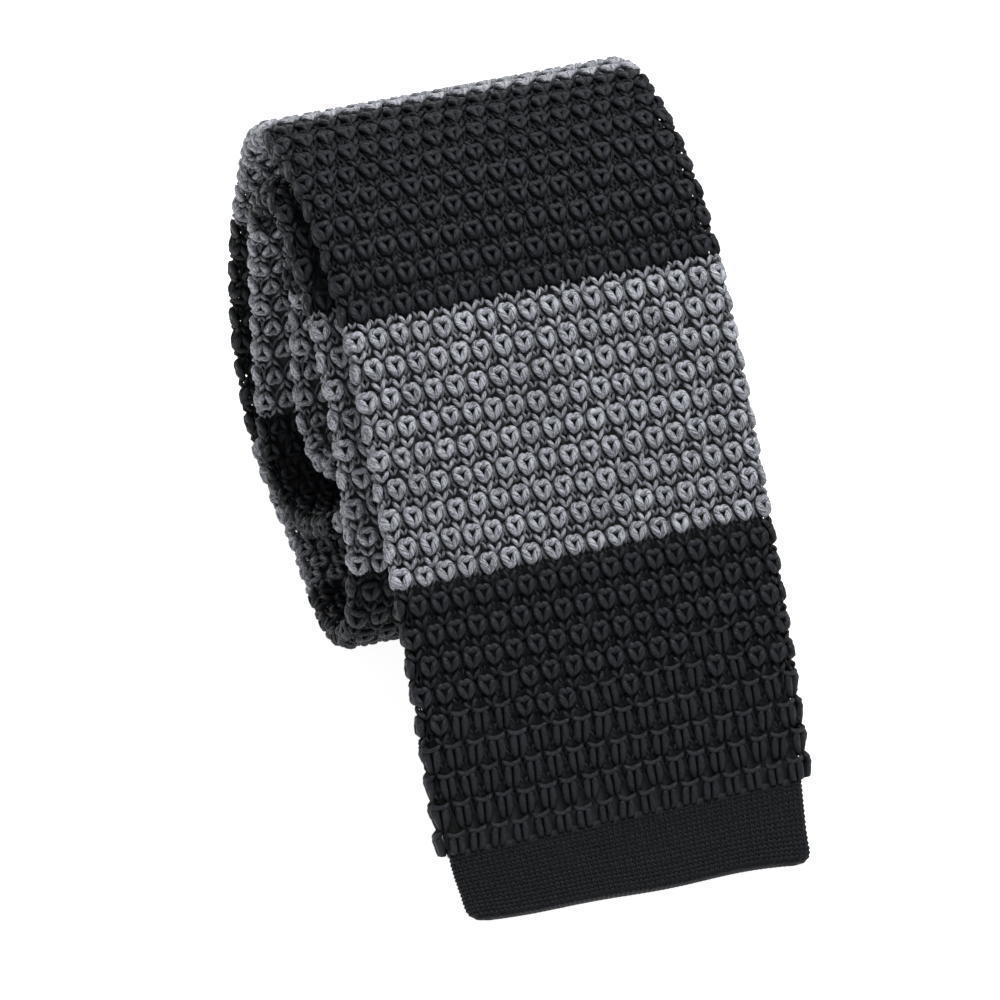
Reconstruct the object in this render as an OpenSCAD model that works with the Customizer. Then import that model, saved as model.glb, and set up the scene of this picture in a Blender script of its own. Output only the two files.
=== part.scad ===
// A knitted necktie with a square end, rolled up from its narrow tail and set
// down on a table. Its wide front end comes over the top of the roll and lies
// down the front until its hem touches the table.
// X runs across the tie, -Y is the front, and Z is up from the table.
// The origin is on the table, under the middle of the whole outline.

/* [Front blade] */
// Width of the wide, thick-knit front blade
blade_w = 60; // [50:0.5:64]
// Thickness of the flattened thick-knit tube
blade_t = 4.2; // [3:0.1:4.2]
// Length of one colour stripe along the tie
stripe_l = 39.5; // [38:0.5:39.5]
// Number of stripes in the thick knit
blade_stripes = 14; // [14:1:14]
// How much narrower each of the last three thick-knit stripes is than the one before
taper_step = 2.5; // [1:0.5:4]
// Width of the fine-knit hem at the front end
hem_w = 54; // [48:0.5:58]
// Length of each fine-knit hem
hem_l = 11; // [8:0.5:12]
// Thickness of the front hem
hem_t = 3.2; // [1.5:0.1:3.2]

/* [Neck and tail] */
// Width of the fine-knit neck band
neck_w = 32; // [26:0.5:40]
// Length of the neck band
neck_l = 250; // [200:5:250]
// Width of the tail
tail_w = 42; // [36:0.5:48]
// Thickness of the fine-knit neck and tail, two faces together
fine_t = 0.8; // [0.6:0.1:0.8]
// Number of stripes in the tail
tail_stripes = 5; // [5:1:5]

/* [Keeper loop] */
// Width of the flat loop behind the front blade, across the tie
loop_w = 30; // [20:1:36]
// Length of the loop along the tie
loop_l = 12; // [8:0.5:14]
// Thickness of the loop's tape
loop_t = 0.5; // [0.3:0.1:0.5]
// Distance of the loop from the front end, along the tie
loop_at = 242; // [240:1:246]

/* [Fits] */
// Gap between stripes that move against each other
joint_gap = 0.3; // [0.2:0.05:0.5]
// Gap between the flat loop and the blade
loop_gap = 0.1; // [0.1:0.05:0.2]

/* [Hidden] */

black_yarn = [0.09, 0.09, 0.10];
grey_yarn = [0.45, 0.46, 0.49];

// Middle line of the free front end, as spline control points [y, z], hem first
drape = [[-64.5, -0.2], [-59, 1], [-52.5, 6.4], [-44, 17.3], [-32.5, 32.4]];

// Middle line of the loose outermost turn, starting where the free end leaves
// it and going over the top, down the back, along the table and up the front
first_turn = [
    [-17, 49], [-1.3, 65.4], [13.2, 74.4], [30.8, 76.6], [45.6, 70.6], [56.5, 55.5], [60.5, 35],
    [57.5, 14.5], [44.5, 1.7], [25.5, 1.3], [6, 4.6], [-12.5, 16], [-17, 30.5]
];

// The same points on the second turn, which is wound tighter
second_turn = [
    [-9.5, 47], [3, 61.9], [17, 69.8], [28, 70.7], [35.6, 66.8], [40.5, 60], [43, 51.5],
    [43.5, 42], [41.5, 31], [38, 19], [32, 10], [19, 11], [0, 28]
];

// The small core that the points shrink to as the turns go inward
core = [
    [17, 43], [17.3, 45.5], [18.5, 47], [20, 47], [21, 46], [21.3, 44.5], [21.3, 43],
    [21.3, 41], [21.3, 39.5], [21, 38], [20, 37], [18.5, 37], [17.2, 39.5]
];

// How far from the second turn toward the core the third turn starts, and how
// far one turn goes in the thick knit, where the knit changes, and in the fine
// knit, all as shares of the whole way
third_start = 0.235;
thick_step = 0.22;
change_step = 0.155;
fine_step = 0.054;
steps_a_turn = len(first_turn);
all_steps = 12 * steps_a_turn;

// The share of the way to the core at point j of the third turn and after it
function share(j) = third_start + (
    min(j, steps_a_turn) * thick_step
    + min(max(j - steps_a_turn, 0), steps_a_turn) * change_step
    + max(j - 2 * steps_a_turn, 0) * fine_step
) / steps_a_turn;

function inner_point(j) =
    let (i = j % steps_a_turn, k = share(j))
    (1 - k) * second_turn[i] + k * core[i];

controls = concat(
    drape,
    first_turn,
    second_turn,
    [for (j = [0 : all_steps]) if (share(j) < 0.96) inner_point(j)]
);

// Cubic B-spline through the control points, and its direction
function spline(i, f) = (
    pow(1 - f, 3) * controls[i]
    + (3 * pow(f, 3) - 6 * f * f + 4) * controls[i + 1]
    + (-3 * pow(f, 3) + 3 * f * f + 3 * f + 1) * controls[i + 2]
    + pow(f, 3) * controls[i + 3]
) / 6;

function spline_run(i, f) = (
    -pow(1 - f, 2) * controls[i]
    + (3 * f * f - 4 * f) * controls[i + 1]
    + (-3 * f * f + 2 * f + 1) * controls[i + 2]
    + f * f * controls[i + 3]
) / 2;

spans = len(controls) - 3;
parts_a_span = 12;
line = [for (i = [0 : spans - 1], q = [0 : parts_a_span - 1]) spline(i, q / parts_a_span)];
run = [for (i = [0 : spans - 1], q = [0 : parts_a_span - 1]) spline_run(i, q / parts_a_span)];

// Distance along the tie of each point of the line
along = [
    for (i = 0, s = 0; i < len(line); i = i + 1, s = s + norm(line[min(i, len(line) - 1)] - line[i - 1])) s
];
y_table = [for (i = [0 : len(line) - 1]) [along[i], line[i][0]]];
z_table = [for (i = [0 : len(line) - 1]) [along[i], line[i][1]]];
run_y_table = [for (i = [0 : len(line) - 1]) [along[i], run[i][0] / norm(run[i])]];
run_z_table = [for (i = [0 : len(line) - 1]) [along[i], run[i][1] / norm(run[i])]];

// How far the outline's middle is behind the middle line's own origin
outline_y = 0.9;

// The point at distance s along the tie, and out from its middle line
function at(s, out) =
    let (d = [lookup(s, run_y_table), lookup(s, run_z_table)], u = d / norm(d))
    [lookup(s, y_table) - outline_y - out * u[1], lookup(s, z_table) + out * u[0]];

// How far the turns are shifted across the tie: the roll is a little uneven
function ease(f) = let (g = max(0, min(1, f))) g * g * (3 - 2 * g);
function across(s) = 3 * ease((s - 118) / 46) - 6 * ease((s - 225) / 60) + 3.6 * ease((s - 330) / 60);

// A strip of the tie from distance s0 to s1, w wide and t thick, out from the line
module strip(s0, s1, w, t, out = 0, piece = 1.7) {
    n = ceil((s1 - s0) / piece);
    outer = [for (i = [0 : n]) at(s0 + (s1 - s0) * i / n, out + t / 2)];
    inner = [for (i = [n : -1 : 0]) at(s0 + (s1 - s0) * i / n, out - t / 2)];
    translate([across((s0 + s1) / 2) - w / 2, 0, 0])
        rotate([90, 0, 90])
            linear_extrude(height = w)
                polygon(concat(outer, inner));
}

// Cuts off what the table presses flat
module on_table() {
    intersection() {
        children();
        translate([-50, -100, 0]) cube([100, 200, 100]);
    }
}

blade_end = hem_l + blade_stripes * stripe_l;
neck_end = blade_end + neck_l;
tail_end = neck_end + tail_stripes * stripe_l;

// The free end bends at the first four stripe boundaries, so those have a gap
function gap_at(k) = k >= 1 && k <= 4 ? joint_gap / 2 : 0;

// The blade keeps its width up to the stripes where it narrows toward the neck
function stripe_w(k) = blade_w - taper_step * max(k - blade_stripes + 3, 0);

module front_hem() {
    color(black_yarn) strip(0, hem_l, hem_w, hem_t);
}

// Stripe k of the front blade, counted from the hem, black first
module blade_stripe(k) {
    color(k % 2 == 1 ? black_yarn : grey_yarn)
        on_table()
            strip(
                hem_l + (k - 1) * stripe_l + gap_at(k - 1),
                hem_l + k * stripe_l - gap_at(k),
                stripe_w(k),
                blade_t
            );
}

module neck_band() {
    color(black_yarn) strip(blade_end, neck_end, neck_w, fine_t);
}

// Stripe k of the tail, counted from the neck, grey first
module tail_stripe(k) {
    color(k % 2 == 1 ? grey_yarn : black_yarn)
        strip(neck_end + (k - 1) * stripe_l, neck_end + k * stripe_l, tail_w, fine_t);
}

module tail_hem() {
    color(black_yarn) strip(tail_end, tail_end + hem_l, tail_w - 4, fine_t);
}

// The loop that holds the tail when the tie is worn, flat behind the blade
loop_out = -(blade_t + loop_t) / 2 - loop_gap;
tack_w = 2;

module keeper_loop() {
    color(black_yarn) strip(loop_at, loop_at + loop_l, loop_w, loop_t, loop_out, 1);
}

// The two rows of stitches that hold the loop's ends to the blade
module keeper_tacks() {
    color(black_yarn)
        for (side = [-1, 1])
            translate([side * (loop_w + tack_w) / 2, 0, 0])
                strip(loop_at, loop_at + loop_l, tack_w, loop_t, loop_out, 1);
}

front_hem();
blade_stripe(1);  // blade_stripe_01
blade_stripe(2);  // blade_stripe_02
blade_stripe(3);  // blade_stripe_03
blade_stripe(4);  // blade_stripe_04
blade_stripe(5);  // blade_stripe_05
blade_stripe(6);  // blade_stripe_06
blade_stripe(7);  // blade_stripe_07
blade_stripe(8);  // blade_stripe_08
blade_stripe(9);  // blade_stripe_09
blade_stripe(10);  // blade_stripe_10
blade_stripe(11);  // blade_stripe_11
blade_stripe(12);  // blade_stripe_12
blade_stripe(13);  // blade_stripe_13
blade_stripe(14);  // blade_stripe_14
neck_band();
tail_stripe(1);  // tail_stripe_01
tail_stripe(2);  // tail_stripe_02
tail_stripe(3);  // tail_stripe_03
tail_stripe(4);  // tail_stripe_04
tail_stripe(5);  // tail_stripe_05
tail_hem();
keeper_loop();
keeper_tacks();
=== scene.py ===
import math

import bpy
import numpy as np
from mathutils import Matrix


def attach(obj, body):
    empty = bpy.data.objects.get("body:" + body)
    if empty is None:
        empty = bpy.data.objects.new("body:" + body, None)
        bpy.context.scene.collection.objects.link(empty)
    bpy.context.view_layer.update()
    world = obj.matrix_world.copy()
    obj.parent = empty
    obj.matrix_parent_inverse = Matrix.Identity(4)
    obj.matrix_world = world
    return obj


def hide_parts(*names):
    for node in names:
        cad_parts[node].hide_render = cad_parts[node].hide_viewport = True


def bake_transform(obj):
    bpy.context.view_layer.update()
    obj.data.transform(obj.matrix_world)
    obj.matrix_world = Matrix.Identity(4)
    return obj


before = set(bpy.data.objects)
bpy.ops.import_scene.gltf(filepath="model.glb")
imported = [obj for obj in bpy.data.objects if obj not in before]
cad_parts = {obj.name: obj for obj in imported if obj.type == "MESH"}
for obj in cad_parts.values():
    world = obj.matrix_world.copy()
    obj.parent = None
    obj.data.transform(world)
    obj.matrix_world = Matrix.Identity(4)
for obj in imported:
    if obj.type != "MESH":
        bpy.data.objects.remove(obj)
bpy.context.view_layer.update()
MM = 0.001
rng = np.random.default_rng(7)

# ---------------------------------------------------------------- driving sizes, in millimetres
HEM_L = 11.0
STRIPE_L = 39.5
BLADE_STRIPES = 14
NECK_L = 250.0
TAIL_STRIPES = 5
BLADE_W = 60.0
TAPER_STEP = 2.5
HEM_W = 54.0
NECK_W = 32.0
TAIL_W = 42.0
FINE_T = 0.8  # thickness of the fine-knit neck and tail
BLADE_END = HEM_L + BLADE_STRIPES * STRIPE_L
NECK_END = BLADE_END + NECK_L
TAIL_END = NECK_END + TAIL_STRIPES * STRIPE_L
ROWS = 9  # knuckle rows in one stripe
ROW = STRIPE_L / ROWS
COLUMNS = 36  # knuckles around the flattened tube
CORE_R = 0.95  # half thickness of the tube under the knuckles
LIFT = 1.15  # how far the knuckles stand out of it
EDGE_RHO = 1.5  # the knuckles are spaced round the tube's edges as on an arc of this radius
PITCH = 3.36  # width of the knuckle that the stitches below are drawn for

# ---------------------------------------------------------------- the tie's middle line, as in the CAD
DRAPE = [(-64.5, -0.2), (-59, 1), (-52.5, 6.4), (-44, 17.3), (-32.5, 32.4)]
FIRST_TURN = [
    (-17, 49), (-1.3, 65.4), (13.2, 74.4), (30.8, 76.6), (45.6, 70.6), (56.5, 55.5), (60.5, 35),
    (57.5, 14.5), (44.5, 1.7), (25.5, 1.3), (6, 4.6), (-12.5, 16), (-17, 30.5),
]
SECOND_TURN = [
    (-9.5, 47), (3, 61.9), (17, 69.8), (28, 70.7), (35.6, 66.8), (40.5, 60), (43, 51.5),
    (43.5, 42), (41.5, 31), (38, 19), (32, 10), (19, 11), (0, 28),
]
CORE = [
    (17, 43), (17.3, 45.5), (18.5, 47), (20, 47), (21, 46), (21.3, 44.5), (21.3, 43),
    (21.3, 41), (21.3, 39.5), (21, 38), (20, 37), (18.5, 37), (17.2, 39.5),
]
OUTLINE_Y = 0.9
STEPS = len(FIRST_TURN)


def share(j):
    """How far point j of the third turn and the turns inside it is toward the core."""
    thick = min(j, STEPS) * 0.22
    change = min(max(j - STEPS, 0), STEPS) * 0.155
    fine = max(j - 2 * STEPS, 0) * 0.054
    return 0.235 + (thick + change + fine) / STEPS


def middle_line(parts=40):
    inner = [j for j in range(12 * STEPS + 1) if share(j) < 0.96]
    inward = [
        (1 - share(j)) * np.array(SECOND_TURN[j % STEPS]) + share(j) * np.array(CORE[j % STEPS])
        for j in inner
    ]
    c = np.array([np.array(p, float) for p in DRAPE + FIRST_TURN + SECOND_TURN] + inward)
    f = np.linspace(0, 1, parts, endpoint=False)[:, None]
    points, runs = [], []
    for i in range(len(c) - 3):
        points.append(
            ((1 - f) ** 3 * c[i] + (3 * f**3 - 6 * f**2 + 4) * c[i + 1]
             + (-3 * f**3 + 3 * f**2 + 3 * f + 1) * c[i + 2] + f**3 * c[i + 3]) / 6
        )
        runs.append(
            (-((1 - f) ** 2) * c[i] + (3 * f**2 - 4 * f) * c[i + 1]
             + (-3 * f**2 + 2 * f + 1) * c[i + 2] + f**2 * c[i + 3]) / 2
        )
    points, runs = np.vstack(points), np.vstack(runs)
    runs /= np.linalg.norm(runs, axis=1)[:, None]
    steps = np.linalg.norm(np.diff(points, axis=0), axis=1)
    return np.concatenate([[0], np.cumsum(steps)]), points, runs


ALONG, LINE, RUN = middle_line()


def smooth(t):
    t = np.clip(t, 0, 1)
    return t * t * (3 - 2 * t)


def across(s):
    """How far the turns are shifted across the tie: the roll is a little uneven."""
    return 3 * smooth((s - 118) / 46) - 6 * smooth((s - 225) / 60) + 3.6 * smooth((s - 330) / 60)


def skew(s):
    """The slope of that shift, which sets the knit rows askew."""
    return across(s + 0.5) - across(s - 0.5)


def to_frame(x, s, out):
    """Points across, along and out of the tie's middle surface, in the row frame in metres."""
    s = np.asarray(s, float)
    shift = across(s)
    s = s - x * skew(s)
    y, z = (np.interp(s, ALONG, LINE[:, k]) for k in (0, 1))
    ty, tz = (np.interp(s, ALONG, RUN[:, k]) for k in (0, 1))
    size = np.hypot(ty, tz)
    ty, tz = ty / size, tz / size
    before = np.minimum(s, 0)
    y, z = y + before * RUN[0, 0], z + before * RUN[0, 1]
    return np.stack([x + shift, y - OUTLINE_Y - out * tz, z + out * ty], -1) * MM


def on_tube(w, s, c, width, core_r, rho):
    """w runs round the flattened tube from its front centre, c stands out of its core."""
    flat = width / 2 - core_r - LIFT * core_r / CORE_R
    length = 4 * flat + 2 * math.pi * rho
    w = (w + length / 2) % length - length / 2
    a = np.abs(w)
    turn = np.clip((a - flat) / rho, 0, math.pi)
    x = np.minimum(a, flat) - np.maximum(a - flat - math.pi * rho, 0) + (core_r + c) * np.sin(turn)
    return np.where(w < 0, -x, x), s, (core_r + c) * np.cos(turn)


def tube_length(width, core_r=CORE_R, rho=EDGE_RHO):
    flat = width / 2 - core_r - LIFT * core_r / CORE_R
    return 4 * flat + 2 * math.pi * rho


# ---------------------------------------------------------------- mesh tools
def grid_faces(rings, sides):
    """Four-sided faces between rings of points, each ring closed."""
    i = np.arange(rings - 1)[:, None]
    k = np.arange(sides)[None, :]
    m = (k + 1) % sides
    faces = [i * sides + k, i * sides + m, (i + 1) * sides + m, (i + 1) * sides + k]
    return np.stack(faces, -1).reshape(-1, 4)


def sweep(points, radii, sides):
    """A yarn along points, narrower at its ends. Gives vertices, faces and places on the yarn."""
    p = np.array(points, float)
    r = np.broadcast_to(np.array(radii, float), len(p))
    first, last = p[0] - (p[1] - p[0]) * 0.25, p[-1] + (p[-1] - p[-2]) * 0.25
    p = np.vstack([first, p, last])
    r = np.concatenate([[r[0] * 0.45], r, [r[-1] * 0.45]])
    run = np.gradient(p, axis=0)
    run /= np.linalg.norm(run, axis=1)[:, None]
    up = np.array([0.0, 0.0, 1.0]) - run * run[:, 2:3]
    up /= np.maximum(np.linalg.norm(up, axis=1), 1e-6)[:, None]
    side = np.cross(run, up)
    angle = np.arange(sides) * 2 * math.pi / sides
    ring = (
        up[:, None] * np.cos(angle)[None, :, None] + side[:, None] * np.sin(angle)[None, :, None]
    )
    verts = (p[:, None] + ring * r[:, None, None]).reshape(-1, 3)
    gone = np.concatenate([[0], np.cumsum(np.linalg.norm(np.diff(p, axis=0), axis=1))])
    twist = angle[None, :] + 1.6 * gone[:, None]
    fibre = np.stack([np.broadcast_to(gone[:, None], twist.shape), np.cos(twist), np.sin(twist)], -1)
    return verts, grid_faces(len(p), sides), fibre.reshape(-1, 3)


def join(parts):
    """Several yarns as one."""
    verts, quads, fibre, start = [], [], [], 0
    for v, q, f in parts:
        verts.append(v)
        quads.append(q + start)
        fibre.append(f)
        start += len(v)
    return np.vstack(verts), np.vstack(quads), np.vstack(fibre)


def build(name, verts, quads, material, fibre=None, shade=None, depth=None):
    mesh = bpy.data.meshes.new(name)
    mesh.vertices.add(len(verts))
    mesh.vertices.foreach_set("co", np.ascontiguousarray(verts, np.float32).ravel())
    mesh.loops.add(quads.size)
    mesh.loops.foreach_set("vertex_index", np.ascontiguousarray(quads, np.int32).ravel())
    mesh.polygons.add(len(quads))
    mesh.polygons.foreach_set("loop_start", np.arange(0, quads.size, quads.shape[1], dtype=np.int32))
    mesh.polygons.foreach_set("use_smooth", np.ones(len(quads), bool))
    mesh.update(calc_edges=True)
    mesh.validate()
    if fibre is not None:
        data = mesh.attributes.new("fibre", "FLOAT_VECTOR", "POINT")
        data.data.foreach_set("vector", np.ascontiguousarray(fibre, np.float32).ravel())
    if shade is not None:
        data = mesh.attributes.new("shade", "FLOAT", "POINT")
        data.data.foreach_set("value", np.ascontiguousarray(shade, np.float32))
    # depth darkens the yarn's colour as painted shade, in the yarn material
    if depth is not None:
        data = mesh.attributes.new("depth", "FLOAT", "POINT")
        data.data.foreach_set("value", np.ascontiguousarray(depth, np.float32))
    mesh.materials.append(material)
    obj = bpy.data.objects.new(name, mesh)
    bpy.context.scene.collection.objects.link(obj)
    return obj


# ---------------------------------------------------------------- stitches
def curve(points, count):
    """A smooth line of count points through the given ones."""
    p = np.array(points, float)
    p = np.vstack([2 * p[0] - p[1], p, 2 * p[-1] - p[-2]])
    t = np.linspace(0, len(points) - 1.0001, count)
    i = t.astype(int)
    f = (t - i)[:, None]
    a, b, c, d = p[i], p[i + 1], p[i + 2], p[i + 3]
    bend = (2 * a - 5 * b + 4 * c - d) * f**2 + (3 * b - a - 3 * c + d) * f**3
    return 0.5 * (2 * b + (c - a) * f + bend)


def both(points, radii, count, sides):
    """A yarn on the left side of a stitch and its mirror image."""
    line = curve([(*p, r) for p, r in zip(points, radii)], count)
    left = sweep(line[:, :3], line[:, 3], sides)
    right = sweep(line[:, :3] * np.array([-1, 1, 1]), line[:, 3], sides)
    return [left, right]


def arch(count, sides):
    """The thick loop over the top of a knuckle."""
    t = np.linspace(-2.0, 2.0, count)
    low = np.clip((np.abs(t) - 0.9) / 1.1, 0, 1)
    a = 0.90 * np.sin(t) * (1 + 0.08 * low)
    b = 0.22 + 0.74 * np.cos(t) - 0.34 * np.exp(-((t / 0.38) ** 2))
    return sweep(np.stack([a, b, 0.50 - 0.10 * low], -1), 0.52 - 0.10 * low, sides)


SIZES = ((17, 8, 7, 6, 5), (12, 6, 5, 4, 4), (9, 5, 4, 4, 3))  # how finely the yarns are cut, by level


def low_v(level):
    """The small V that hangs under a knuckle."""
    *_, thin, few = SIZES[level]
    return both(
        [(-0.92, -1.96, 0.36), (-0.64, -2.38, 0.66), (-0.29, -2.88, 0.64), (-0.02, -3.32, 0.34)],
        (0.22, 0.34, 0.32, 0.22), few, thin,
    )


def thin_yarns(level):
    """The thin yarns beside a knuckle and, where the knit is seen, above and below it."""
    *_, thin, few = SIZES[level]
    parts = both(
        [(-1.42, 0.60, -0.10), (-1.58, -0.10, 0.06), (-1.50, -0.90, 0.14), (-1.16, -1.66, 0.18)],
        (0.22, 0.29, 0.29, 0.22), few, thin,
    )
    if level < 2:
        above = [(-0.60, 2.66, 0.26), (-0.36, 2.26, 0.52), (-0.10, 1.78, 0.42)]
        below = [(-0.66, -1.50, 0.0), (-0.52, -1.86, 0.14), (-0.36, -2.26, 0.14)]
        parts += both(above, (0.17, 0.24, 0.18), 4, 4)
        parts += both(below, (0.20, 0.22, 0.17), 3, 4)
    return parts


def knuckle(level):
    """One knuckle: a loop, and the two thick legs that close it below."""
    ring, sides, legs, *_ = SIZES[level]
    return [arch(ring, sides)] + both(
        [(-1.02, 0.46, 0.48), (-0.80, -0.28, 0.80), (-0.42, -1.02, 0.80), (-0.06, -1.72, 0.38)],
        (0.36, 0.56, 0.48, 0.25), legs, sides,
    )


def stretched(level):
    """A knuckle near the hem, pulled long: a two-horned bar over two upright yarns."""
    ring, sides, legs, *_ = SIZES[level]
    left = [(-1.28, 1.12, 0.40, 0.22), (-0.92, 0.78, 0.74, 0.36)]
    right = [(0.92, 0.78, 0.74, 0.36), (1.28, 1.12, 0.40, 0.22)]
    bar = curve(left + [(0, 0.56, 0.76, 0.34)] + right, ring)
    return [sweep(bar[:, :3], bar[:, 3], sides)] + both(
        [(-0.60, 0.40, 0.50), (-0.66, -0.50, 0.44), (-0.62, -1.60, 0.26), (-0.46, -2.90, 0.08)],
        (0.52, 0.62, 0.62, 0.42), legs, sides,
    )


def scallop(level):
    """The rounded end of a row at the edge of the tube: thick yarns bowed outward."""
    _, sides, legs, *_ = SIZES[level]
    low = [(-0.30, -1.95, -0.70), (-0.50, -1.30, 0.20)]
    high = [(-0.50, 1.20, 0.20), (-0.30, 1.90, -0.70)]
    points = low + [(-0.56, -0.05, 0.68)] + high
    return both(points, (0.36, 0.52, 0.58, 0.52, 0.36), legs + 2, sides)


STITCHES = {}
for level in range(len(SIZES)):
    STITCHES["whole", level] = join(knuckle(level) + low_v(level) + thin_yarns(level))
    STITCHES["first", level] = join(knuckle(level) + thin_yarns(level))
    STITCHES["pulled", level] = join(stretched(level) + thin_yarns(level))
    STITCHES["hem", level] = join(stretched(level))
    STITCHES["under", level] = join(low_v(level))
    STITCHES["edge", level] = join(scallop(level))


def fibres_of(fibre, copies):
    """Fibre coordinates for copies of a stitch, each with its own run of filaments."""
    slide = np.array([1.0, 0, 0]) * rng.uniform(0, 50, copies)[:, None, None]
    return (np.broadcast_to(fibre[None], (copies, *fibre.shape)) + slide).reshape(-1, 3)


def scatter(template, w0, s0, turn, size, shift):
    """Copies of a stitch at the places w0, s0 on the tube, each turned, sized and shifted a little."""
    v, q, f = template
    n, m = len(w0), len(v)
    cos, sin = np.cos(turn)[:, None], np.sin(turn)[:, None]
    lean, wide, tall = (rng.normal(0, d, n)[:, None] for d in (0.05, 0.025, 0.03))
    a = v[None, :, 0] * size[:, None] * (1 + wide) + lean * v[None, :, 1]
    b = v[None, :, 1] * size[:, None] * (1 + tall)
    a, b = a * cos - b * sin + shift[:, 0:1], a * sin + b * cos + shift[:, 1:2]
    c = v[None, :, 2] * size[:, None] + shift[:, 2:3]
    quads = (q[None] + (np.arange(n) * m)[:, None, None]).reshape(-1, 4)
    return w0[:, None] + a, s0[:, None] + b, c, quads, fibres_of(f, n)


def stripe_width(k):
    return BLADE_W - TAPER_STEP * max(k - BLADE_STRIPES + 3, 0)


def knuckle_rows(name, k, first, last, material, front_level, back_level):
    """Rows first to last of stripe k, all the way round the tube."""
    width = stripe_width(k)
    around = tube_length(width)
    columns = round(COLUMNS * width / BLADE_W)
    pitch = around / columns
    groups = {}
    for row in range(first, last + (last == ROWS and k < BLADE_STRIPES)):
        n = (k - 1) * ROWS + row
        s = HEM_L + (n + 0.62) * ROW
        kind = "whole" if row else "first"
        if row == ROWS:
            kind = "under"  # this stripe's yarn, hanging from the next stripe's first row
        for col in range(columns):
            w = (col + 0.5 * (n % 2)) * pitch
            w = (w + around / 2) % around - around / 2
            level = front_level if abs(w) < around / 4 + 2 else back_level
            here = kind
            if kind != "under" and rng.uniform() < (5.4 - n) / 2.4:  # the rows near the hem
                here = "pulled" if n else "hem"
            groups.setdefault((here, level), []).append((w, s))
        if row < ROWS:
            groups.setdefault(("edge", back_level), []).extend([(-around / 4, s), (around / 4, s)])
    verts, quads, fibres, shades, depths, start = [], [], [], [], [], 0
    for kind, level in sorted(groups):
        places = np.array(groups[kind, level])
        n = len(places)
        turn = rng.normal(0, 0.05, n)
        size = rng.normal(1.04, 0.015, n) * pitch / PITCH
        shift = rng.normal(0, 1, (n, 3)) * np.array([0.06, 0.08, 0.035])
        w, s, c, q, f = scatter(STITCHES[kind, level], places[:, 0], places[:, 1], turn, size, shift)
        s = np.maximum(s, HEM_L + 0.3 + 0.1 * c)
        c = np.minimum(c, LIFT + 0.12)
        # each point's height out of the tube core, kept for the painted shade in the yarn's colour
        depths.append(c.ravel())
        x, s, out = on_tube(w, s, c, width, CORE_R, EDGE_RHO)
        verts.append(to_frame(x, s, out).reshape(-1, 3))
        quads.append(q + start)
        fibres.append(f)
        shades.append(np.repeat(rng.uniform(0, 1, n), w.shape[1]))
        start += w.size
    return build(
        name, np.vstack(verts), np.vstack(quads), material,
        np.vstack(fibres), np.concatenate(shades), np.concatenate(depths),
    )


def tube_sheet(name, s0, s1, width, core_r, rho, material, step=1.4, around=44, wave=0.0):
    """The ground of the knit: an open flattened tube from s0 to s1."""
    rows = max(2, round((s1 - s0) / step) + 1)
    s = np.linspace(s0, s1, rows)
    length = tube_length(width, core_r, rho)
    w = np.linspace(-length / 2, length / 2, around, endpoint=False)
    ss, ww = np.meshgrid(s, w, indexing="ij")
    c = wave * np.sin(ss * 2 * math.pi / ROW) * np.cos(ww * 2 * math.pi / PITCH)
    x, ss, out = on_tube(ww, ss, c, width, core_r, rho)
    verts = to_frame(x, ss, out).reshape(-1, 3)
    return build(name, verts, grid_faces(rows, around), material)


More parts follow.
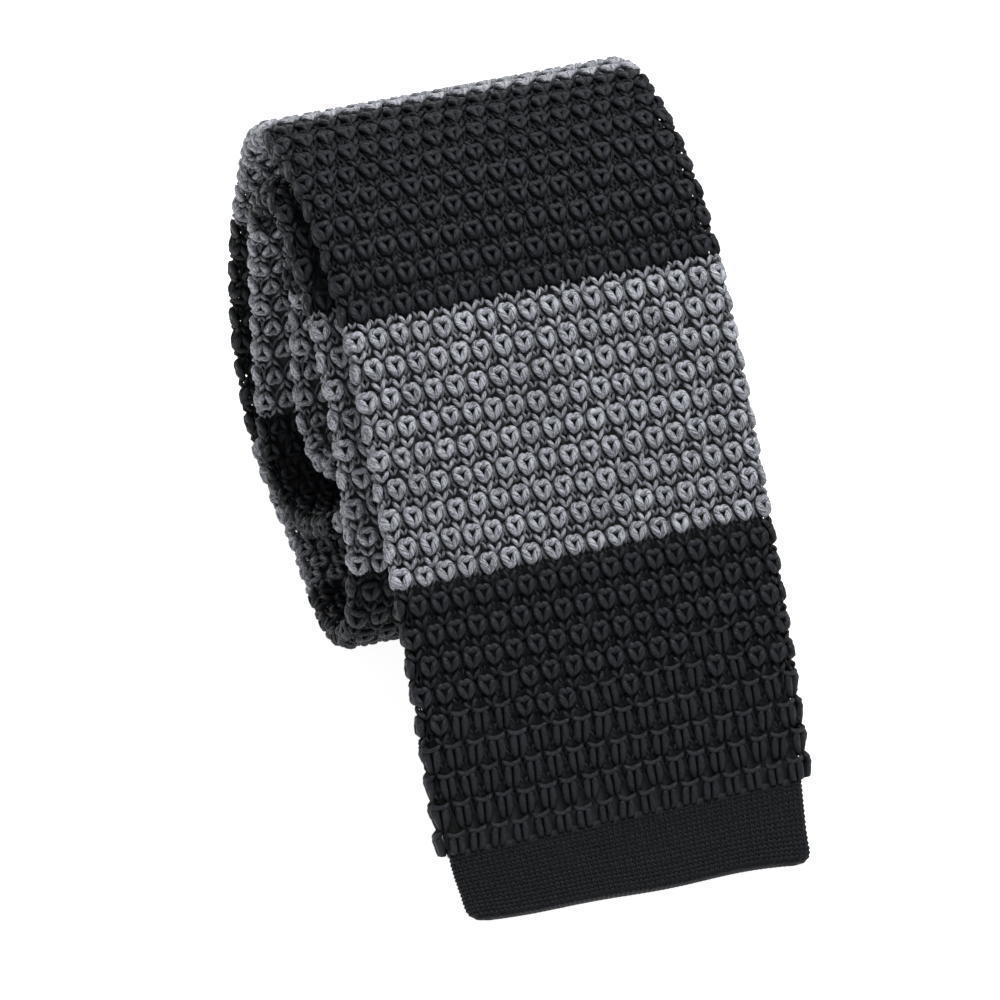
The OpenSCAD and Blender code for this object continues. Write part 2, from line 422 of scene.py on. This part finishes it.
# ---------------------------------------------------------------- materials
def yarn(name, colour, dark, rough, specular):
    """Shiny twisted yarn: fine filaments along it, a little change from stitch to stitch, and painted
    shade that darkens the yarn the lower it lies in the knit.
    """
    m = bpy.data.materials.new(name)
    m.use_nodes = True
    t = m.node_tree
    p = t.nodes["Principled BSDF"]
    p.inputs["Roughness"].default_value = rough
    p.inputs["Specular IOR Level"].default_value = specular
    fibre = t.nodes.new("ShaderNodeAttribute")
    fibre.attribute_name = "fibre"
    scale = t.nodes.new("ShaderNodeMapping")
    scale.inputs["Scale"].default_value = (0.5, 1.5, 1.5)
    noise = t.nodes.new("ShaderNodeTexNoise")
    noise.inputs["Scale"].default_value = 1.6
    noise.inputs["Detail"].default_value = 1.5
    t.links.new(fibre.outputs["Vector"], scale.inputs["Vector"])
    t.links.new(scale.outputs["Vector"], noise.inputs["Vector"])
    ramp = t.nodes.new("ShaderNodeValToRGB")
    ramp.color_ramp.elements[0].position = 0.38
    ramp.color_ramp.elements[0].color = (*dark, 1)
    ramp.color_ramp.elements[1].position = 0.60
    ramp.color_ramp.elements[1].color = (*colour, 1)
    t.links.new(noise.outputs["Fac"], ramp.inputs["Fac"])
    shade = t.nodes.new("ShaderNodeAttribute")
    shade.attribute_name = "shade"
    value = t.nodes.new("ShaderNodeMapRange")
    value.inputs["To Min"].default_value = 0.86
    value.inputs["To Max"].default_value = 1.1
    t.links.new(shade.outputs["Fac"], value.inputs["Value"])
    # Painted shade: the base colour is darkened by the yarn's height out of the knit, full at 1.05 mm
    # and down to 0.18 of it at the bottom, standing for the shade deep between the stitches.
    depth = t.nodes.new("ShaderNodeAttribute")
    depth.attribute_name = "depth"
    painted_shade = t.nodes.new("ShaderNodeMapRange")
    painted_shade.inputs["From Min"].default_value = 0.0
    painted_shade.inputs["From Max"].default_value = 1.05
    painted_shade.inputs["To Min"].default_value = 0.18
    painted_shade.inputs["To Max"].default_value = 1.0
    t.links.new(depth.outputs["Fac"], painted_shade.inputs["Value"])
    times = t.nodes.new("ShaderNodeMath")
    times.operation = "MULTIPLY"
    t.links.new(value.outputs["Result"], times.inputs[0])
    t.links.new(painted_shade.outputs["Result"], times.inputs[1])
    mix = t.nodes.new("ShaderNodeHueSaturation")
    t.links.new(ramp.outputs["Color"], mix.inputs["Color"])
    t.links.new(times.outputs["Value"], mix.inputs["Value"])
    t.links.new(mix.outputs["Color"], p.inputs["Base Color"])
    bump = t.nodes.new("ShaderNodeBump")
    bump.inputs["Strength"].default_value = 1.0
    bump.inputs["Distance"].default_value = 0.00025
    t.links.new(noise.outputs["Fac"], bump.inputs["Height"])
    t.links.new(bump.outputs["Normal"], p.inputs["Normal"])
    return m


def ground(name, colour, dark):
    """Fine knit seen between the knuckles and on the neck and tail; the colours given to it are
    painted shade, much darker than the yarn itself.
    """
    m = bpy.data.materials.new(name)
    m.use_nodes = True
    t = m.node_tree
    p = t.nodes["Principled BSDF"]
    p.inputs["Roughness"].default_value = 0.8
    p.inputs["Sheen Weight"].default_value = 0.1
    where = t.nodes.new("ShaderNodeTexCoord")
    noise = t.nodes.new("ShaderNodeTexNoise")
    noise.inputs["Scale"].default_value = 1600.0
    noise.inputs["Detail"].default_value = 2.0
    t.links.new(where.outputs["Object"], noise.inputs["Vector"])
    ramp = t.nodes.new("ShaderNodeValToRGB")
    ramp.color_ramp.elements[0].position = 0.35
    ramp.color_ramp.elements[0].color = (*dark, 1)
    ramp.color_ramp.elements[1].position = 0.65
    ramp.color_ramp.elements[1].color = (*colour, 1)
    t.links.new(noise.outputs["Fac"], ramp.inputs["Fac"])
    t.links.new(ramp.outputs["Color"], p.inputs["Base Color"])
    bump = t.nodes.new("ShaderNodeBump")
    bump.inputs["Strength"].default_value = 0.4
    bump.inputs["Distance"].default_value = 0.0002
    t.links.new(noise.outputs["Fac"], bump.inputs["Height"])
    t.links.new(bump.outputs["Normal"], p.inputs["Normal"])
    return m


YARN = {
    "black_yarn": yarn("black yarn", (0.0132, 0.0163, 0.0215), (0.0050, 0.0062, 0.0082), 0.5, 0.22),
    "grey_yarn": yarn("grey yarn", (0.405, 0.422, 0.468), (0.075, 0.079, 0.092), 0.45, 0.35),
}
# Painted shade: the ground colours are the yarn colours made much darker, the grey more than ten
# times, to stand for the shade in the gaps between the knuckles; the same materials colour the neck,
# tail, hem and keeper.
GROUND_IN_PAINTED_SHADE = {
    "black_yarn": ground("black ground in painted shade", (0.0078, 0.0092, 0.0112), (0.0042, 0.0050, 0.0062)),
    "grey_yarn": ground("grey ground in painted shade", (0.024, 0.025, 0.028), (0.010, 0.0105, 0.012)),
}


def colour_of(k):
    return "black_yarn" if k % 2 == 1 else "grey_yarn"


# ---------------------------------------------------------------- the thick-knit blade
# The body on each side of the boundary at the roll end of stripes 1 to 4
BODIES = ["front_end", "front_fold", "top_fold", "back_fold", "roll"]
JOINTS = len(BODIES) - 1
SEEN = 4  # the first stripes, whose front the camera sees
HEM_SIDE_ROWS = 5  # rows in the half of a stripe nearer the hem
CLOTH_IN = 0.8  # how far the ground stays in from the knuckles at each edge
CLOTH_RHO = 0.9


def boundary(k):
    return HEM_L + k * STRIPE_L


def carry(obj, k, roll_half):
    """A half stripe beside a joint has its place baked into its mesh; any other piece is attached to
    its body.
    """
    joint = k if roll_half else k - 1
    if 1 <= joint <= JOINTS:
        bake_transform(obj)
    else:
        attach(obj, BODIES[min(k - 1, JOINTS)])


for k in range(1, BLADE_STRIPES + 1):
    node = f"blade_stripe_{k:02d}"
    slot = colour_of(k)
    in_halves = k <= JOINTS + 1
    halves = [("a", 0, HEM_SIDE_ROWS), ("b", HEM_SIDE_ROWS, ROWS)] if in_halves else [("", 0, ROWS)]
    for letter, first, last in halves:
        tag = f"{k:02d}{letter}"
        roll_half = letter == "b"
        middle = boundary(k - 1) + STRIPE_L / 2
        s0 = middle if roll_half else boundary(k - 1)
        s1 = middle if letter == "a" else boundary(k)
        front_level = 0 if k <= SEEN else 1
        knit = knuckle_rows(f"knit_{tag}", k, first, last, YARN[slot], front_level, front_level + 1)
        cloth = tube_sheet(
            f"cloth_{tag}", s0, s1, stripe_width(k) - 2 * CLOTH_IN, CORE_R - 0.15, CLOTH_RHO,
            GROUND_IN_PAINTED_SHADE[slot], wave=0.1,
        )
        for piece in (knit, cloth):
            carry(piece, k, roll_half)
            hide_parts(node)

# ---------------------------------------------------------------- neck, tail and hems
def fine_tube(name, s0, s1, width, thick, slot, body, nodes):
    cloth = tube_sheet(name, s0, s1, width, thick / 2, 0.4, GROUND_IN_PAINTED_SHADE[slot], step=1.5, around=40)
    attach(cloth, body)
    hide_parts(*nodes)


fine_tube(
    "neck_cloth", BLADE_END, NECK_END, NECK_W, FINE_T,
    "black_yarn", "roll", ["neck_band"],
)
for k in range(1, TAIL_STRIPES + 1):
    s0 = NECK_END + (k - 1) * STRIPE_L
    fine_tube(
        f"tail_cloth_{k:02d}", s0, s0 + STRIPE_L, TAIL_W, FINE_T,
        colour_of(k + 1), "roll", [f"tail_stripe_{k:02d}"],
    )
fine_tube(
    "tail_hem_cloth", TAIL_END, min(TAIL_END + HEM_L, ALONG[-1]), TAIL_W - 4, FINE_T,
    "black_yarn", "roll", ["tail_hem"],
)


HEM_R = 1.15  # half thickness of the hem under its fine stitches
HEM_RHO = 1.2  # its stitches are spaced round the edges as on an arc of this radius
HEM_TOP = HEM_L + 0.8  # the hem goes a little way in under the first stripe
TIP_L = 1.3  # length over which the hem's end closes
CORNER_L = 2.4  # length over which its corners are rounded
CORNER_CUT = 1.9  # how much narrower each side is at the very end


def hem_shape(s):
    """Width and core radius of the closed hem: its end is a soft fold with rounded corners."""
    tip = np.clip(s / TIP_L, 0, 1)
    core = HEM_R * np.sqrt(1 - (1 - tip) ** 2) + 0.02
    corner = np.clip(s / CORNER_L, 0, 1)
    cut = CORNER_CUT * (1 - np.sqrt(1 - (1 - corner) ** 2))
    return HEM_W + 2.0 * smooth(s / HEM_TOP) - 0.5 - 2 * cut, core


def hem_place(q, s, c):
    """q runs from -0.5 to 0.5 round the hem, from the middle of its front."""
    s = np.maximum(s, 0.0)
    width, core = hem_shape(s)
    flat = width / 2 - HEM_R
    a = np.abs(q) * (4 * flat + 2 * math.pi * HEM_RHO)
    turn = np.clip((a - flat) / HEM_RHO, 0, math.pi)
    past = np.maximum(a - flat - math.pi * HEM_RHO, 0)
    x = np.minimum(a, flat) - past + (core + c) * np.sin(turn)
    x = np.where(q < 0, -x, x)
    bulge = 1.1 * np.exp(-(((x + 15) / 11) ** 2)) + 0.35 * np.sin(x * 0.21 + 1.0)
    s = s - (bulge + 0.06 * x) * (1 - smooth(s / HEM_L))
    return x, s, (core + c) * np.cos(turn)


def fine_stitch():
    """One plain-knit stitch: two short strands that lean together."""
    strand = [(0.33, 0.36, -0.06), (0.22, 0.0, 0.10), (0.05, -0.36, -0.06)]
    return join(both(strand, (0.15, 0.19, 0.15), 3, 5))


def fine_knit(name, columns, course, s_top, material):
    """Rows of fine stitches round the hem, course apart, up to s_top."""
    v, quads, fibre = fine_stitch()
    rows = int(s_top / course)
    col, row = np.meshgrid(np.arange(columns), np.arange(rows), indexing="xy")
    col, row = col.ravel(), row.ravel()
    n = len(col)
    q = (col + 0.5) / columns - 0.5
    s = (row + 0.5) * course
    around = tube_length(HEM_W, HEM_R, HEM_RHO)
    a = v[None, :, 0] + rng.normal(0, 0.02, n)[:, None]
    b = v[None, :, 1] + rng.normal(0, 0.02, n)[:, None]
    c = v[None, :, 2] + rng.normal(0, 0.015, n)[:, None]
    qq = (q[:, None] + a / around + 0.5) % 1.0 - 0.5
    x, ss, out = hem_place(qq, s[:, None] + b, c + 0.05)
    all_quads = (quads[None] + (np.arange(n) * len(v))[:, None, None]).reshape(-1, 4)
    fibres = fibres_of(fibre, n)
    shades = np.repeat(rng.uniform(0, 1, n), len(v))
    # the last value is the height used for painted shade: the lower parts of each stitch are darker
    return build(
        name, to_frame(x, ss, out).reshape(-1, 3), all_quads, material,
        fibres, shades, (0.45 + 2.2 * c).ravel(),
    )


def hem_ground(name, material, around=120):
    """The closed end of the tube under the fine stitches."""
    s = np.concatenate([np.linspace(0, TIP_L, 8), np.linspace(TIP_L, HEM_TOP, 16)[1:]])
    q = np.arange(around) / around - 0.5
    ss, qq = np.meshgrid(s, q, indexing="ij")
    x, ss, out = hem_place(qq, ss, 0 * ss)
    verts = to_frame(x, ss, out).reshape(-1, 3)
    return build(name, verts, grid_faces(len(s), around), material)


hem = hem_ground("front_hem_cloth", GROUND_IN_PAINTED_SHADE["black_yarn"])
hem_knit = fine_knit("front_hem_knit", 138, 0.66, HEM_TOP, YARN["black_yarn"])
for piece in (hem, hem_knit):
    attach(piece, "front_end")
    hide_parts("front_hem")

for node in ("keeper_loop", "keeper_tacks"):
    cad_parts[node].data.materials.clear()
    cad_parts[node].data.materials.append(GROUND_IN_PAINTED_SHADE["black_yarn"])

# ---------------------------------------------------------------- floor, light and camera
def floor_material():
    """White, and bright enough to leave only a faint shadow."""
    m = bpy.data.materials.new("floor")
    m.use_nodes = True
    p = m.node_tree.nodes["Principled BSDF"]
    p.inputs["Base Color"].default_value = (0.5, 0.5, 0.5, 1)
    p.inputs["Roughness"].default_value = 0.9
    p.inputs["Specular IOR Level"].default_value = 0.1
    p.inputs["Emission Color"].default_value = (1, 1, 1, 1)
    p.inputs["Emission Strength"].default_value = 0.92
    return m


half = 3.0  # half the floor's side, in metres
corners = np.array([(-half, -half, 0), (half, -half, 0), (half, half, 0), (-half, half, 0)])
floor = build("floor", corners, np.array([[0, 1, 2, 3]]), floor_material())


def area_light(name, place, aim, size, power):
    light = bpy.data.lights.new(name, "AREA")
    light.shape = "DISK"
    light.size = size
    light.energy = power
    obj = bpy.data.objects.new(name, light)
    bpy.context.scene.collection.objects.link(obj)
    look = np.array(aim, float) - np.array(place, float)
    z = -look / np.linalg.norm(look)
    x = np.cross([0, 1, 0.01], z)
    x /= np.linalg.norm(x)
    y = np.cross(z, x)
    m = np.eye(4)
    m[:3, 0], m[:3, 1], m[:3, 2], m[:3, 3] = x, y, z, place
    obj.matrix_world = Matrix([list(r) for r in m])


area_light("key", (0.20, 0.16, 0.82), (0, 0, 0.03), 0.35, 9.0)
area_light("front", (-0.30, -0.65, 0.55), (0, 0, 0.03), 0.6, 1.2)

world = bpy.data.worlds.new("studio")
bpy.context.scene.world = world
world.use_nodes = True
world.node_tree.nodes["Background"].inputs["Color"].default_value = (1, 1, 1, 1)
world.node_tree.nodes["Background"].inputs["Strength"].default_value = 0.3
bpy.context.scene.view_settings.view_transform = "Standard"

place = np.array([-0.2935, -0.6593, 0.7320])
aim = np.array([-0.0099, -0.0162, 0.0445])
ahead = (aim - place) / np.linalg.norm(aim - place)
right = np.cross(ahead, [0, 0, 1])
right /= np.linalg.norm(right)
up = np.cross(right, ahead)
roll = math.radians(5.65)
right, up = (
    math.cos(roll) * right + math.sin(roll) * up,
    -math.sin(roll) * right + math.cos(roll) * up,
)

camera_data = bpy.data.cameras.new("camera")
camera_data.sensor_width = 36.0
camera_data.lens = 239.3
camera_data.clip_start = 0.01
camera = bpy.data.objects.new("camera", camera_data)
bpy.context.scene.collection.objects.link(camera)
m = np.eye(4)
m[:3, 0], m[:3, 1], m[:3, 2], m[:3, 3] = right, up, -ahead, place
camera.matrix_world = Matrix([list(row) for row in m])
bpy.context.scene.camera = camera
